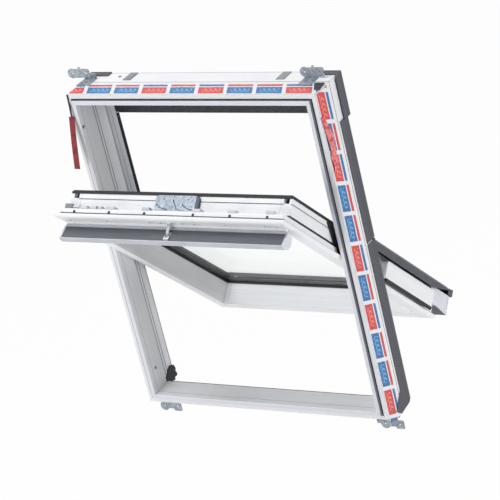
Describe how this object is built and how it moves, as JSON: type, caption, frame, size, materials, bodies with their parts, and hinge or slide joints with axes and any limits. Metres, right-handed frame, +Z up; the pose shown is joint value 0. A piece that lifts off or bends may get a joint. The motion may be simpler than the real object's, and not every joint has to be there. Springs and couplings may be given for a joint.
{
  "type": "centre-pivot roof window",
  "caption": "White centre-pivot roof window in its frame, sash turned half open, with glass, dark cladding, ventilation flap and control bar, lock, hinges and steel fitting brackets.",
  "frame": {"origin": "on the sill's underside at mid-width, in the plane of the closed sash's room side", "axes": "+X to the right seen from the room, +Y outward through the roof, +Z up the slope of the window"},
  "size_m": [0.876, 0.798, 1.0475],
  "materials": {
    "white_pvc": "satin",
    "pale_plastic": "matte",
    "light_grey_plastic": "satin",
    "grey_plastic": "matte",
    "grey_flap": "matte",
    "black_plastic": "matte",
    "black_rubber": "matte",
    "dark_cladding": "matte",
    "galvanised_steel": "spangled zinc",
    "bright_steel": "polished",
    "printed_tape": "printed film",
    "red_card": "matte",
    "clear_glass": "clear"
  },
  "bodies": {
    "frame": {"frame_head": "white_pvc", "frame_sill": "white_pvc", "frame_jamb_left": "white_pvc", "frame_jamb_right": "white_pvc", "sill_seal": "black_rubber", "corner_seals": "black_rubber", "head_cover": "dark_cladding", "upper_cover_left": "dark_cladding", "upper_cover_right": "dark_cladding", "corner_hoods": "dark_cladding", "lower_cover_left": "dark_cladding", "lower_cover_right": "dark_cladding", "hinge_housing_left": "black_plastic", "hinge_housing_right": "black_plastic", "hinge_screws": "bright_steel", "bracket_top_left": "galvanised_steel", "bracket_top_right": "galvanised_steel", "bracket_bottom_left": "galvanised_steel", "bracket_bottom_right": "galvanised_steel", "bracket_screws": "bright_steel", "tape_head": "printed_tape", "tape_left": "printed_tape", "tape_right": "printed_tape", "head_clips": "grey_plastic", "tag_strap": "black_rubber", "tag": "red_card", "lock_keeper": "galvanised_steel"},
    "sash": {"sash_top_rail": "white_pvc", "sash_bottom_rail": "white_pvc", "sash_stile_left": "white_pvc", "sash_stile_right": "white_pvc", "glass_inner": "clear_glass", "glass_outer": "clear_glass", "glass_spacer": "black_plastic", "glazing_seal": "black_rubber", "sash_seal": "black_rubber", "glass_trim": "dark_cladding", "sash_cladding_left": "dark_cladding", "sash_cladding_right": "dark_cladding", "side_block_left": "white_pvc", "side_block_right": "white_pvc", "side_seals": "black_rubber", "foot_seal": "black_rubber", "sash_foot": "dark_cladding", "foot_caps": "pale_plastic", "drip_cover": "dark_cladding", "hinge_rails": "bright_steel", "hinge_covers": "black_plastic", "lock_case": "galvanised_steel", "rail_screws": "black_plastic", "rail_clips": "grey_plastic", "flap_hinge": "white_pvc", "bolt_guide": "grey_plastic"},
    "bar": {"vent_flap": "light_grey_plastic", "vent_filter": "grey_flap", "control_bar": "light_grey_plastic", "bar_caps": "pale_plastic", "bar_hook": "bright_steel"},
    "link": {"latch_link": "bright_steel"},
    "bolt": {"barrel_bolt": "bright_steel"}
  },
  "joints": [
    {"name": "sash_pivot", "type": "hinge", "parent": "frame", "child": "sash", "pos_m": [0, 0.125, 0.496], "axis": [1, 0, 0], "range_deg": [-45, 103]},
    {"name": "bar_pivot", "type": "hinge", "parent": "sash", "child": "bar", "pos_m": [0, -0.25472, 0.68763], "axis": [1, 0, 0], "range_deg": [-68, 0]},
    {"name": "link_slide", "type": "slide", "parent": "sash", "child": "link", "axis": [0, 0.7071, 0.7071], "range_m": [0, 0.024]},
    {"name": "bolt_slide", "type": "slide", "parent": "sash", "child": "bolt", "axis": [-1, 0, 0], "range_m": [0, 0.016]}
  ],
  "couplings": [
    {"joint": "link_slide", "follows": "bar_pivot", "m_per_rad": -0.020222}
  ]
}
